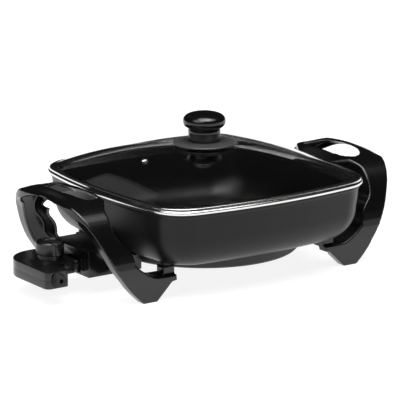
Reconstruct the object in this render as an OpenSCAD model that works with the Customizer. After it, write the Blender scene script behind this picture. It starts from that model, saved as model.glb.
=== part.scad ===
// Countertop electric skillet: a square coated pan on two moulded end handles,
// a domed glass lid with a knob, and a plug-in temperature probe with a dial.
// Origin: centre of the whole cooker's outline, on the table. X runs along the
// handles with the probe at -X, Y across, Z up.

/* [Pan] */
// Width of the pan across its rim, side to side
pan_w = 291; // [260:1:320]
// Depth of the pan outside, rim to underside
pan_h = 65; // [50:1:80]
// Height of the pan's underside above the table
pan_lift = 39.5; // [36:0.5:55]
// Radius of the gently bowed sides
side_bow_r = 633; // [500:1:1200]
// Corner radius of the rim
corner_r = 40; // [28:1:60]
// Thickness of the pan's wall
pan_wall = 3; // [2:0.1:4]
// Thickness of the pan's floor
pan_floor = 4; // [3.5:0.1:6]
// Width of the outward lip that carries the lid
pan_lip = 1.2; // [0.6:0.1:2.5]
// Horizontal reach of the curve from wall to floor
turn_w = 30; // [20:1:36]
// Height of the curve from wall to floor
turn_h = 38; // [24:1:42]

/* [Heater] */
// How far the cast heater plate's edge lies in from the pan's rim
heater_in = 36.5; // [34:0.5:50]
// Height of the heater plate's outer ring
heater_h = 14; // [12:0.5:17]
// Width of the ring that holds the element
heater_ring_w = 31; // [26:1:40]
// Thickness of the plate inside the ring
heater_web = 5; // [3:0.5:7]
// Diameter of the element's sheath
element_d = 8; // [6.5:0.5:9]
// Distance between the two terminal pins
pin_pitch = 22; // [20:1:26]
// Diameter of a terminal pin
pin_d = 4.8; // [4:0.1:5.4]
// Length of pin that stands out of its insulator
pin_l = 40; // [30:1:44]

/* [Lid] */
// How far the lid's rim stands out past the pan on each side
lid_over = 4.5; // [3:0.5:6]
// Height of the lid's steel rim
rim_h = 7; // [7:0.5:10]
// Rise of the glass from rim to crown
dome_h = 33; // [20:1:45]
// Thickness of the glass
glass_t = 4; // [3:0.5:4]
// Distance of the steam vent from the lid's centre
vent_x = 82; // [60:1:100]
// Bore of the steam vent
vent_d = 4; // [3:0.5:5]

/* [Knob] */
// Diameter of the knob's head
knob_d = 49; // [42:1:56]
// Height of the knob's head
knob_head_h = 22; // [18:1:26]
// Diameter of the knob's neck
neck_d = 37; // [30:1:38]
// Height of the neck, skirt to head
neck_h = 13; // [8:1:18]
// Diameter of the skirt under the knob
skirt_d = 73; // [60:1:84]
// Diameter of the washer under the glass
washer_d = 39; // [30:1:44]
// Diameter of the knob screw
knob_screw_d = 5; // [4:0.5:6]

/* [Handles] */
// How far each handle reaches out past the pan's rim
handle_out = 72.5; // [62:0.5:84]
// Distance between the outer faces of a handle's two legs
leg_span = 194; // [186:1:206]
// Height of the handle's crown above the pan's rim
crown_rise = 13; // [6:1:20]
// How far each leg leans inward at the height of the rim
leg_lean = 22; // [16:1:28]
// Wall thickness of the handle moulding
handle_wall = 3; // [2.4:0.1:3.6]
// Depth of the moulding's edge flange
flange = 14; // [12:0.5:17]
// Depth of the web along a leg's inner edge
web = 26; // [20:1:32]
// Bow of the handle's outer edge in plan
handle_bow = 30; // [20:1:36]
// Length of the finger slot
slot_l = 92; // [80:1:100]
// Width of the finger slot
slot_w = 34; // [28:1:36]
// Width of the foot on the table
foot_w = 18; // [14:1:24]
// Diameter of the handle screws
screw_d = 4; // [3:0.5:4.5]

/* [Probe guard] */
// Width of the guard round the terminals
guard_w = 74; // [66:1:84]
// How far the guard's mouth lies out past the pan's rim
guard_out = 35.5; // [33:0.5:38]
// Height of the guard
guard_h = 30.5; // [28:0.5:33]
// Wall thickness of the guard
guard_wall = 2.5; // [2:0.1:3.5]
// Width of the guard's mouth
mouth_w = 40; // [38:1:46]

/* [Temperature probe] */
// How far the probe stands out past the pan's rim
probe_out = 99.5; // [97:0.5:106]
// Length of the probe's cross block
block_l = 97; // [88:1:104]
// Width of the probe's cross block
block_w = 29; // [27:0.5:31]
// Height of the probe's cross block
housing_h = 18.5; // [17.5:0.5:22]
// Wall thickness of the probe's housing
housing_wall = 2; // [1.6:0.1:2.4]
// Width of the arm between block and guard
arm_w = 34; // [33:1:37]
// Height of the arm between block and guard
arm_h = 14; // [13:0.5:14.5]
// Diameter of the sensor rod
rod_d = 6; // [5:0.5:6.5]
// Diameter of the temperature dial
dial_d = 32; // [30:1:35]
// Height of the dial
dial_h = 14.5; // [12:0.5:17]
// Diameter of the dial's shaft
shaft_d = 6; // [5:0.5:7]
// Diameter of the cord gland
gland_d = 17; // [14:0.5:18]

/* [Hidden] */
$fn = 64;

// Clearances: between parts that come apart, in a running fit, and of a screw in its hole
gap = 0.3;
run = 0.1;
screw_gap = 0.3;
// Overshoot of a cut past the face that it opens
cut = 1;
// Straight pieces in half a side and in a corner of the rounded square
side_steps = 4;
corner_steps = 8;

rim_z = pan_lift + pan_h;
pan_half = pan_w / 2;
handle_reach = pan_half + handle_out;
guard_reach = pan_half + guard_out;
probe_reach = pan_half + probe_out;
pan_x = (probe_reach - handle_reach) / 2;

// ---------------------------------------------------------------- outlines
// A quarter of a square with bowed sides: side arc, corner arc, side arc.
function quarter(half, r, bow) =
    let (k = bow - half,
         c = (sqrt(2 * pow(bow - r, 2) - k * k) - k) / 2,
         a = atan2(c, c + k))
    concat(
        [for (i = [0 : side_steps - 1]) let (t = a * i / side_steps)
            [bow * cos(t) - k, bow * sin(t)]],
        [for (i = [0 : corner_steps]) let (t = a + (90 - 2 * a) * i / corner_steps)
            [c + r * cos(t), c + r * sin(t)]],
        [for (i = [1 : side_steps - 1]) let (t = 90 - a + a * i / side_steps)
            [bow * cos(t), bow * sin(t) - k]]);

function turned(p, a) = [p.x * cos(a) - p.y * sin(a), p.x * sin(a) + p.y * cos(a)];

// The whole bowed square, drawn in by d all round.
function square_ring(d, r) =
    [for (q = [0 : 3]) for (p = quarter(pan_half - d, r, side_bow_r - d)) turned(p, 90 * q)];

function at_height(ring, z) = [for (p = ring) [p.x, p.y, z]];

// Corner cutting: each pass rounds an open line of points.
function rounded(p, passes) = passes == 0 ? p : rounded(concat(
    [p[0]],
    [for (i = [0 : len(p) - 2]) for (s = [0.25, 0.75])
        if (!(i == 0 && s == 0.25) && !(i == len(p) - 2 && s == 0.75))
            p[i] * (1 - s) + p[i + 1] * s],
    [p[len(p) - 1]]), passes - 1);

function unit(v) = v / norm(v);
function left_of(v) = [-v.y, v.x];

// A closed outline, drawn in by e along its own sides.
function inset(p, e) = [for (i = [0 : len(p) - 1])
    let (n = len(p),
         a = left_of(unit(p[i] - p[(i + n - 1) % n])),
         b = left_of(unit(p[(i + 1) % n] - p[i])))
    p[i] + e * (a + b) / (1 + a * b)];

function arc(c, r, a0, a1, steps) =
    [for (i = [0 : steps]) let (t = a0 + (a1 - a0) * i / steps) c + r * [cos(t), sin(t)]];

// ---------------------------------------------------------------- solids from rings
// Rings joined one to the next; capped at both ends, or closed on themselves.
module loft(rings, closed = false) {
    n = len(rings[0]);
    m = len(rings);
    walls = [for (j = [0 : m - (closed ? 1 : 2)]) for (i = [0 : n - 1])
        let (k = (i + 1) % n, l = (j + 1) % m)
        for (f = [[j * n + i, l * n + i, l * n + k], [j * n + i, l * n + k, j * n + k]]) f];
    caps = closed ? [] : [[for (i = [0 : n - 1]) i], [for (i = [n - 1 : -1 : 0]) (m - 1) * n + i]];
    polyhedron([for (ring = rings) for (p = ring) p], concat(walls, caps), convexity = 8);
}

module at_pan() { translate([pan_x, 0, 0]) children(); }
module at_sides() { for (s = [-1, 1]) scale([1, s, 1]) children(); }
module along_x(x) { translate([x, 0, 0]) rotate([0, 90, 0]) children(); }

// ---------------------------------------------------------------- pan and heater
lip_h = 3;
lip_run = 2;
wall_lean = 2.3;
turn_top = pan_h - turn_h;
floor_edge = wall_lean + turn_w * (1 - cos(75)) + 2.5;
corner_taper = 0.25;
pan_top = rim_z - gap;

function pan_ring(d, z) = at_height(square_ring(d, corner_r - corner_taper * max(d, 0)), z);

// Outer and inner faces of the pan, each from its centre line outward in.
pan_outer = concat(
    [[floor_edge, pan_lift]],
    [for (t = [75 : -15 : 0]) [wall_lean + turn_w * (1 - cos(t)), pan_lift + turn_h * (1 - sin(t))]],
    [[wall_lean / 4, rim_z - turn_top / 2], [0, rim_z - lip_h - lip_run],
     [-pan_lip, rim_z - lip_h], [-pan_lip, pan_top - 0.6], [0.6 - pan_lip, pan_top]]);
inner_turn = turn_w - pan_wall;
pan_inner = concat(
    [[pan_wall - 0.6, pan_top], [pan_wall, pan_top - 0.6],
     [pan_wall + wall_lean / 4, rim_z - turn_top / 2]],
    [for (t = [0 : 15 : 90]) [pan_wall + wall_lean + inner_turn * (1 - cos(t)),
        pan_lift + pan_floor + (turn_h - pan_floor) * (1 - sin(t))]]);

// Cast bosses under the pan: four for the handles and two for the guard
boss_d = 13;
boss_h = 2.5;
ear_w = boss_d + 2;
ear_x = pan_half - wall_lean - turn_w - 3;
toe_x = ear_x - ear_w / 2;
ear_y = leg_span / 2 - boss_d;
guard_boss_d = 10;
guard_boss_h = 1;
guard_ear_x = -ear_x - 5.5;
guard_ear_y = guard_w / 2 - boss_d / 2 - 2;
thread_in = 2;

// Cast bosses under the pan, each as [x, y, diameter, height].
boss_places = concat(
    [for (sx = [-1, 1]) for (sy = [-1, 1]) [sx * ear_x, sy * ear_y, boss_d, boss_h]],
    [for (sy = [-1, 1]) [guard_ear_x, sy * guard_ear_y, guard_boss_d, guard_boss_h]]);

module pan() {
    color("#2b2b2c") at_pan() difference() {
        union() {
            loft([for (p = concat(pan_outer, pan_inner)) pan_ring(p.x, p.y)]);
            for (b = boss_places) translate([b[0], b[1], pan_lift - b[3]])
                cylinder(d = b[2], h = b[3] + boss_h);
        }
        for (b = boss_places) translate([b[0], b[1], pan_lift - b[3] - cut])
            cylinder(d = screw_d, h = b[3] + thread_in + cut);
    }
}

heater_r = pan_half - heater_in;
heater_z = pan_lift - heater_h;
element_r = heater_r - heater_ring_w / 2;
element_z = heater_z + element_d / 2 + 1.5;
groove_d = element_d + 2 * gap;
end_angle = asin(pin_pitch / 2 / element_r);
end_x = element_r * cos(end_angle);
well_d = rod_d + 1;
well_end = heater_r - heater_ring_w + 4;

module heater_plate() {
    color("#3a3a3b") at_pan() difference() {
        rotate_extrude($fn = 96) polygon([
            [0, pan_lift - heater_web], [heater_r - heater_ring_w - 4, pan_lift - heater_web],
            [heater_r - heater_ring_w, heater_z + 1], [heater_r - heater_ring_w + 1, heater_z],
            [heater_r - 2, heater_z], [heater_r, heater_z + 2], [heater_r, pan_lift], [0, pan_lift]]);
        rotate([0, 0, end_angle - 180]) rotate_extrude(angle = 360 - 2 * end_angle, $fn = 96)
            union() {
                translate([element_r, element_z]) circle(d = groove_d, $fn = 32);
                translate([element_r - groove_d / 2, heater_z - cut])
                    square([groove_d, element_z - heater_z + cut]);
            }
        at_sides() {
            translate([-end_x, pin_pitch / 2, element_z]) sphere(d = groove_d);
            translate([-heater_r - cut, (pin_pitch - groove_d) / 2, heater_z - cut])
                cube([heater_r + cut - end_x + groove_d / 2, groove_d, element_z - heater_z + cut + groove_d / 2]);
        }
        translate([-heater_r - cut, 0, element_z]) rotate([0, 90, 0])
            cylinder(d = well_d, h = heater_r + cut - well_end);
    }
}

cold_end_x = heater_r + 15;
insulator_l = 6;
insulator_d = pin_d + 5;

module heating_element() {
    color("#6d6a66") at_pan() union() {
        rotate([0, 0, end_angle - 180]) rotate_extrude(angle = 360 - 2 * end_angle, $fn = 96)
            translate([element_r, element_z]) circle(d = element_d, $fn = 32);
        at_sides() {
            translate([-end_x, pin_pitch / 2, element_z]) sphere(d = element_d + gap);
            translate([-cold_end_x, pin_pitch / 2, element_z]) rotate([0, 90, 0])
                cylinder(d = element_d, h = cold_end_x - end_x);
        }
    }
}

module pin_insulators() {
    color("#d8d2c4") at_pan() at_sides()
        translate([-cold_end_x - insulator_l, pin_pitch / 2, element_z]) rotate([0, 90, 0])
            difference() {
                cylinder(d = insulator_d, h = insulator_l);
                translate([0, 0, -cut]) cylinder(d = pin_d, h = insulator_l + 2 * cut);
            }
}

pin_tip = cold_end_x + insulator_l + pin_l;

module terminal_pins() {
    color("#b9bcc0") at_pan() at_sides()
        translate([-cold_end_x, pin_pitch / 2, element_z]) rotate([0, -90, 0])
            rotate_extrude() polygon([[0, 0], [pin_d / 2, 0], [pin_d / 2, insulator_l + pin_l - 2],
                [pin_d / 4, insulator_l + pin_l], [0, insulator_l + pin_l]]);
}

// ---------------------------------------------------------------- handles
// Outline of the arch across a handle: upright legs, a crease, a lean and a round crown.
crease_z = 0.48 * rim_z;
crown_z = rim_z + crown_rise;
crown_half = 50;
below = 40;

arch_half = rounded([[leg_span / 2, -below], [leg_span / 2, crease_z],
    [leg_span / 2 - leg_lean, 0.94 * rim_z], [crown_half, crown_z], [0, crown_z]], 3);
arch_outline = concat(
    [for (i = [0 : len(arch_half) - 2]) arch_half[i]],
    [for (i = [len(arch_half) - 1 : -1 : 0]) [-arch_half[i].x, arch_half[i].y]]);

// Side outline of a handle, each point as [distance out past the pan's rim, height]:
// up the outer edge, over the crown, down the inner edge to the toe.
foot_in = 16;
toe_h = 6.5;
arm_z = 0.26 * rim_z;
side_outer = [
    [foot_w - foot_in, 0], [17, 0.14 * rim_z], [27, 0.27 * rim_z], [37, 0.4 * rim_z],
    [46, 0.57 * rim_z], [54, 0.73 * rim_z], [61.5, 0.88 * rim_z], [67, 0.96 * rim_z],
    [handle_out, rim_z], [handle_out, rim_z + 0.5 * crown_rise],
    [62, rim_z + 0.88 * crown_rise], [51, crown_z + 0.4], [34, crown_z + 0.4],
    [22, rim_z + 0.7 * crown_rise], [9.5, rim_z]];
shoulder_z = 0.84 * rim_z;
crown_in = 10;
leg_in = 31;
side_inner = [
    [leg_in, shoulder_z - 3], [28.5, 0.72 * rim_z], [19.5, 0.635 * rim_z], [13.7, 0.565 * rim_z],
    [11, 0.49 * rim_z], [10.5, 0.43 * rim_z], [3.4, 0.365 * rim_z], [-7, 0.3 * rim_z],
    [-16, arm_z], [toe_x - pan_half, arm_z]];

function past_rim(p) = [for (q = p) [pan_half + q.x, q.y]];

inner_edge = past_rim(rounded(side_inner, 2));
side_outline = concat(
    [[toe_x, arm_z - toe_h], [toe_x + toe_h, arm_z - toe_h - 1], [pan_half - foot_in, 0]],
    past_rim(rounded(side_outer, 2)),
    [[pan_half + crown_in, shoulder_z], [pan_half + leg_in, shoulder_z]], inner_edge);

module across(outline) {
    translate([pan_half / 2, 0, 0]) rotate([90, 0, 90]) linear_extrude(height = handle_reach) polygon(outline);
}

module along_side(outline) {
    rotate([90, 0, 0]) linear_extrude(height = leg_span + 2 * cut, center = true) polygon(outline);
}

// Plan of a handle's outer edge and, above the shoulder, of its inner edge.
function plan_outer(y, e) = handle_reach - e - handle_bow * pow(abs(2 * y / leg_span), 4);
function plan_inner(y, e) = let (s = max(0, min(1, (abs(y) - 20) / (leg_span / 2 - 1.5 * leg_lean - 22))))
    pan_half + crown_in + e + (leg_in - crown_in) * pow(s, 1.5);

plan_steps = 14;
plan_y = [for (i = [-plan_steps : plan_steps]) i * (leg_span / 2 + 2 * cut) / plan_steps];

// The handle's solid form, drawn in by e on every side.
module handle_blank(e) {
    difference() {
        intersection() {
            difference() {
                across(inset(arch_outline, e));
                across(inset(arch_outline, flange + e));
            }
            along_side(inset(side_outline, e));
        }
        linear_extrude(height = 2 * rim_z) polygon(concat(
            [for (y = plan_y) [plan_outer(y, e), y]],
            [[handle_reach + below, leg_span], [handle_reach + below, -leg_span]]));
        translate([0, 0, shoulder_z]) linear_extrude(height = rim_z) polygon(concat(
            [[pan_half / 2, leg_span]],
            [for (i = [len(plan_y) - 1 : -1 : 0]) [plan_inner(plan_y[i], e), plan_y[i]]],
            [[pan_half / 2, -leg_span]]));
    }
}

// A deeper web stands along the inner edge of both legs.
module leg_webs() {
    outer_side = [for (i = [0 : len(inner_edge) - 1])
        let (a = inner_edge[max(i - 1, 0)], b = inner_edge[min(i + 1, len(inner_edge) - 1)])
        inner_edge[i] + handle_wall * left_of(unit(b - a))];
    intersection() {
        difference() {
            across(inset(arch_outline, handle_wall / 2));
            across(inset(arch_outline, web));
        }
        along_side(concat(inner_edge, [for (i = [len(outer_side) - 1 : -1 : 0]) outer_side[i]]));
    }
}

slot_x = pan_half + 39.5;
slot_power = 2.6;
slot_bow = 4;

module finger_slot() {
    function edge(i, side) = let (y = slot_l / 2 * sin(7.5 * i))
        [slot_x - slot_bow * pow(2 * y / slot_l, 2)
            + side * slot_w / 2 * pow(max(0, 1 - pow(abs(2 * y / slot_l), slot_power)), 1 / slot_power), y];
    translate([0, 0, shoulder_z]) linear_extrude(height = rim_z) polygon(concat(
        [for (i = [-12 : 12]) edge(i, 1)], [for (i = [11 : -1 : -11]) edge(i, -1)]));
}

ear_z = arm_z - handle_wall;
ear_t = pan_lift - boss_h - ear_z;

module handle() {
    difference() {
        union() {
            difference() {
                handle_blank(0);
                handle_blank(handle_wall);
            }
            leg_webs();
            at_sides() translate([ear_x - ear_w / 2, ear_y - ear_w / 2, ear_z])
                cube([ear_w, ear_w, ear_t]);
        }
        finger_slot();
        at_sides() translate([ear_x, ear_y, 0]) {
            cylinder(d = screw_d + 2 * screw_gap, h = 2 * pan_lift);
            cylinder(d = screw_head_d + 1, h = ear_z);
        }
    }
}

module right_handle() { color("#141415") at_pan() handle(); }
module left_handle() { color("#141415") at_pan() mirror([1, 0, 0]) handle(); }

screw_head_d = 2 * screw_d;
screw_head_h = 0.65 * screw_d;

// A pan-head screw, head down, with its bearing face at z = 0.
module screw(length) {
    rotate_extrude($fn = 32) polygon([[0, -screw_head_h], [screw_head_d / 4, -screw_head_h],
        [screw_head_d / 2, -screw_head_h / 2], [screw_head_d / 2, 0], [screw_d / 2, 0],
        [screw_d / 2, length - 0.5], [screw_d / 2 - 0.5, length], [0, length]]);
}

module handle_screws() {
    color("#8e9094") at_pan() for (sx = [-1, 1]) for (sy = [-1, 1])
        translate([sx * ear_x, sy * ear_y, ear_z]) screw(ear_t + boss_h + thread_in - 0.5);
}

// ---------------------------------------------------------------- probe guard
guard_z = element_z - 9.5;
guard_top = guard_z + guard_h;
guard_ear_z = pan_lift - guard_boss_h - guard_wall;
flat_end = guard_ear_x - guard_boss_d / 2 - 0.5;
edge_start = pan_half - wall_lean - turn_w;
guard_in = edge_start - 2;

// Side outline of the guard, drawn in by e: its top steps down under the pan's curved edge.
function guard_outline(e) = [
    [-guard_reach + e, guard_z + e], [-guard_in + (e > 0 ? cut : 0), guard_z + e],
    [-guard_in + (e > 0 ? cut : 0), pan_lift - guard_boss_h - e],
    [flat_end - e / 2, pan_lift - guard_boss_h - e],
    [-edge_start - 0.43 * turn_w - e / 2, pan_lift + 0.08 * turn_h - e],
    [-edge_start - 0.67 * turn_w - e / 2, pan_lift + 0.21 * turn_h - e],
    [-edge_start - 0.8 * turn_w - e / 2, guard_top - e],
    [-guard_reach + 2 + e / 2, guard_top - e], [-guard_reach + e, guard_top - 2 - e / 2]];

module probe_guard() {
    driver_d = screw_head_d + 1;
    color("#151516") at_pan() difference() {
        rotate([90, 0, 0]) linear_extrude(height = guard_w, center = true) polygon(guard_outline(0));
        rotate([90, 0, 0]) linear_extrude(height = guard_w - 2 * guard_wall, center = true)
            polygon(guard_outline(guard_wall));
        translate([-guard_reach - cut, -mouth_w / 2, element_z - arm_h / 2 - 0.6])
            cube([guard_wall + 2 * cut, mouth_w, arm_h + 1.2]);
        at_sides() translate([guard_ear_x, guard_ear_y, guard_ear_z - cut])
            cylinder(d = screw_d + 2 * screw_gap, h = guard_wall + 2 * cut);
        at_sides() translate([guard_ear_x, guard_ear_y, guard_z - cut]) {
            cylinder(d = driver_d, h = guard_wall + 2 * cut);
            translate([0, -driver_d / 2, 0]) cube([boss_d, driver_d, guard_wall + 2 * cut]);
        }
    }
}

module guard_screws() {
    color("#8e9094") at_pan() for (sy = [-1, 1])
        translate([guard_ear_x, sy * guard_ear_y, guard_ear_z])
            screw(guard_wall + guard_boss_h + thread_in - 0.5);
}

// ---------------------------------------------------------------- lid
lid_half = pan_half + lid_over;
glass_inset = 2.2;
glass_edge_z = rim_z + rim_h - glass_t - 1;
dome_power = 2.4;
screw_hole_d = knob_screw_d + 2 * screw_gap;
lid_corner = corner_r + lid_over;

function lid_ring(d, z) = at_height(square_ring(d - lid_over, lid_corner - d), z);

// Section of the rim, as [distance in from its edge, height]: rolled bead,
// neck, top fold over the glass, seat under it and the lip inside the pan.
seat_in = lid_over + pan_wall + 1.8;
fold_in = 5;
fold_z = rim_h - 0.9 + dome_h * (1 - pow(1 - (fold_in - glass_inset) / (lid_half - glass_inset), dome_power));
rim_section = [
    [seat_in, 0], [1.2, 0], [0.35, 0.4], [0, 1.5], [0, 2.6], [0.4, 3.6], [1.3, 4.2],
    [1.3, rim_h - 2.2], [0.4, rim_h - 1.6], [0.1, rim_h - 0.8], [0.7, rim_h - 0.1], [fold_in, fold_z + 0.6],
    [fold_in, fold_z], [2.1, rim_h - 0.8], [2.1, rim_h - glass_t - 1.2],
    [seat_in + 0.8, rim_h - glass_t - 1.2], [seat_in + 0.8, -5], [seat_in, -5]];

module lid_rim() {
    color("#d5d7d9") at_pan()
        loft([for (p = rim_section) lid_ring(p.x, rim_z + p.y)], closed = true);
}

// Height of the glass's lower face at a share s of the way from centre to edge.
function dome_z(s) = glass_edge_z + dome_h * (1 - pow(s, dome_power));
dome_top = dome_z(0) + glass_t;
dome_shares = [1, 0.97, 0.9, 0.8, 0.68, 0.56, 0.44, 0.32, 0.2, 0.1];

// The square outline turns into a circle towards the centre.
function dome_ring(s, lift) =
    let (edge = square_ring(glass_inset - lid_over, lid_corner - glass_inset), half = lid_half - glass_inset)
    [for (p = edge) let (q = p * s * pow(s, 0.5) + unit(p) * half * s * (1 - pow(s, 0.5)))
        [q.x, q.y, dome_z(s) + lift]];

function hole_ring(z) =
    [for (p = square_ring(glass_inset - lid_over, lid_corner - glass_inset))
        let (q = unit(p) * screw_hole_d / 2) [q.x, q.y, z]];

vent_share = vent_x / (lid_half - glass_inset);
vent_tilt = atan(dome_h * dome_power * pow(vent_share, dome_power - 1) / (lid_half - glass_inset));
vent_wall = 1;

module at_vent() { translate([-vent_x, 0, dome_z(vent_share)]) rotate([0, -vent_tilt, 0]) children(); }

module lid_glass() {
    color("#c9d6dc", 0.35) at_pan() difference() {
        loft(concat(
            [hole_ring(dome_z(0))],
            [for (i = [len(dome_shares) - 1 : -1 : 0]) dome_ring(dome_shares[i], 0)],
            [for (s = dome_shares) dome_ring(s, glass_t)],
            [hole_ring(dome_top)]), closed = true);
        at_vent() translate([0, 0, -3]) cylinder(d = vent_d + 2 * vent_wall, h = glass_t + 6);
    }
}

module vent_eyelet() {
    flange_r = vent_d / 2 + 2.4;
    bore_r = vent_d / 2;
    top = glass_t + gap;
    color("#c8cacc") at_pan() at_vent() rotate_extrude() polygon([
        [bore_r, -1.1], [flange_r - 0.6, -1.1], [flange_r, -gap], [bore_r + vent_wall, -gap],
        [bore_r + vent_wall, top], [flange_r, top], [flange_r - 0.7, top + 0.9], [bore_r, top + 0.9]]);
}

gasket_t = 1.5;
gasket_d = 28;
skirt_t = 2.4;
skirt_z = dome_top + gasket_t;
knob_z = skirt_z + skirt_t;

module knob_gasket() {
    color("#1c1c1d") at_pan() translate([0, 0, dome_top]) difference() {
        cylinder(d = gasket_d, h = gasket_t);
        translate([0, 0, -cut]) cylinder(d = screw_hole_d, h = gasket_t + 2 * cut);
    }
}

module knob_skirt() {
    r = skirt_d / 2;
    hole_r = screw_hole_d / 2;
    color("#262627") at_pan() translate([0, 0, skirt_z]) rotate_extrude() polygon([
        [hole_r, 0], [gasket_d / 2, 0], [r - 3, 0.2 - gasket_t / 2], [r - 0.8, -gasket_t / 2],
        [r, 0.2], [r - 0.5, 1.2], [neck_d / 2 + 2, skirt_t], [hole_r, skirt_t]]);
}

insert_d = knob_screw_d + 4;
insert_h = 12;
head_z = knob_z + neck_h;

module lid_knob() {
    r = knob_d / 2;
    half_h = knob_head_h / 2;
    color("#161617") at_pan() rotate_extrude($fn = 72) polygon(concat(
        [[insert_d / 2, knob_z], [neck_d / 2, knob_z], [neck_d / 2, head_z - 3],
         [neck_d / 2 + 0.8, head_z]],
        [for (t = [-36 : 7 : 90]) [r * cos(t), head_z + half_h * (0.85 + sin(t))]],
        [[0, knob_z + insert_h + 1], [insert_d / 2, knob_z + insert_h + 1]]));
}

module knob_insert() {
    color("#b08d4f") at_pan() translate([0, 0, knob_z]) difference() {
        cylinder(d = insert_d, h = insert_h);
        translate([0, 0, -cut]) cylinder(d = knob_screw_d, h = insert_h + 2 * cut);
    }
}

washer_t = 1.5;
washer_z = dome_z(washer_d / 2 / (lid_half - glass_inset)) - 0.1 - washer_t;

module knob_washer() {
    color("#a9abad") at_pan() translate([0, 0, washer_z]) difference() {
        cylinder(d = washer_d, h = washer_t);
        translate([0, 0, -cut]) cylinder(d = screw_hole_d, h = washer_t + 2 * cut);
    }
}

module knob_screw() {
    r = knob_screw_d / 2;
    top = knob_z + insert_h - 1 - washer_z;
    color("#bcbec0") at_pan() translate([0, 0, washer_z]) rotate_extrude() polygon([
        [0, -2.6], [r + 0.6, -2.6], [2 * r, -1.2], [2 * r, 0], [r, 0], [r, top - 0.6],
        [r - 0.6, top], [0, top]]);
}

// ---------------------------------------------------------------- temperature probe
probe_z = element_z;
arm_end = -guard_reach - 6;
arm_floor_z = probe_z - arm_h / 2;
arm_top_z = arm_floor_z + arm_h;
housing_top_z = arm_top_z + 2;
housing_z = housing_top_z - housing_h;
split_z = housing_z + housing_h / 2;
block_x0 = -probe_reach;
block_x1 = block_x0 + block_w;
block_x2 = arm_end - 10;
block_y0 = -0.536 * block_l;
block_y1 = block_y0 + block_l;
block_r = 6;
block_far_r = 0.37 * block_l;
arm_r = 4;

// Plan of the block: narrow at the cord's end, wide and round under the dial.
block_outline = concat(
    arc([block_x0 + block_r, block_y0 + block_r], block_r, 180, 270, 5),
    arc([block_x1 - arm_r, block_y0 + arm_r], arm_r, -90, 0, 4),
    [[block_x1, -0.28 * block_l], [block_x2, -arm_w / 2 + 2]],
    arc([block_x2 - arm_r, block_y1 - arm_r], arm_r, 0, 90, 4),
    arc([block_x0 + block_far_r, block_y1 - block_far_r], block_far_r, 90, 180, 12));
function arm_plan(e, x1) = [[dial_x, e - arm_w / 2], [x1, e - arm_w / 2], [x1, arm_w / 2 - e], [dial_x, arm_w / 2 - e]];

dial_x = block_x1 + 7.3;
collar_h = 6;
collar_d = dial_d - 3;
shaft_hole_d = shaft_d + 2 * run;
gland_x = (block_x0 + block_x1) / 2;
gland_out = 7;
gland_in = 8;
gland_neck_d = gland_d - 5;
post_d = 6;
housing_screw_places = [
    [block_x0 + 8, block_y0 + 16], [block_x0 + 16, block_y1 - 23], [block_x2 - 8, block_y1 - 9]];
housing_screw_d = 2.5;

module gland_seat() {
    translate([gland_x, block_y0 - cut, split_z]) rotate([-90, 0, 0]) union() {
        cylinder(d = gland_d - 1 + 2 * run, h = cut + 3);
        cylinder(d = gland_neck_d + 2 * run, h = cut + gland_in);
    }
}

// The block and the arm between two heights, drawn in by e; the arm keeps its own heights.
module housing_fill(e, z0, z1, x1) {
    translate([0, 0, z0]) linear_extrude(height = z1 - z0) polygon(inset(block_outline, e));
    arm_z0 = max(z0, arm_floor_z + e);
    arm_z1 = min(z1, arm_top_z - e);
    translate([0, 0, arm_z0]) linear_extrude(height = arm_z1 - arm_z0) polygon(arm_plan(e, x1));
}

module housing_shell(z0, z1, floor_at_bottom) {
    inner_z0 = floor_at_bottom ? z0 + housing_wall : z0 - cut;
    inner_z1 = floor_at_bottom ? z1 + cut : z1 - housing_wall;
    difference() {
        housing_fill(0, z0, z1, arm_end);
        difference() {
            housing_fill(housing_wall, inner_z0, inner_z1, arm_end + cut);
            for (p = housing_screw_places) translate([p.x, p.y, z0 - cut])
                cylinder(d = post_d, h = z1 - z0 + 2 * cut, $fn = 32);
            translate([block_x0, block_y0, z0 - cut])
                cube([block_w, gland_in, z1 - z0 + 2 * cut]);
        }
    }
}

// The screws' heads are sunk into the block's floor.
bearing_z = housing_z + 1;
screw_head = 2 * housing_screw_d + 0.4;

module housing_base() {
    color("#171718") at_pan() difference() {
        housing_shell(housing_z, split_z, true);
        for (p = housing_screw_places) {
            translate([p.x, p.y, housing_z - cut]) cylinder(d = housing_screw_d + 0.4, h = housing_h, $fn = 32);
            translate([p.x, p.y, housing_z - cut])
                cylinder(d = screw_head, h = bearing_z - housing_z + cut, $fn = 32);
        }
        gland_seat();
    }
}

module housing_top() {
    color("#171718") at_pan() difference() {
        union() {
            housing_shell(split_z, housing_top_z, false);
            translate([dial_x, 0, housing_top_z - housing_wall / 2]) cylinder(d = collar_d, h = collar_h + housing_wall / 2);
        }
        for (p = housing_screw_places) translate([p.x, p.y, split_z - cut])
            cylinder(d = housing_screw_d, h = cut + housing_h / 2 - housing_wall, $fn = 32);
        translate([dial_x, 0, split_z]) cylinder(d = shaft_hole_d, h = housing_h);
        translate([dial_x, 0, housing_top_z - housing_wall - cut])
            cylinder(d = collar_d - 2 * housing_wall, h = collar_h + cut);
        gland_seat();
    }
}

module housing_screws() {
    r = housing_screw_d / 2;
    length = housing_top_z - housing_wall - 1 - bearing_z;
    color("#8e9094") at_pan() for (p = housing_screw_places) translate([p.x, p.y, bearing_z])
        rotate_extrude($fn = 32) polygon([[0, -0.9], [r + 0.3, -0.9], [2 * r, -0.4],
            [2 * r, 0], [r, 0], [r, length - 0.4], [r - 0.4, length], [0, length]]);
}

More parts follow.
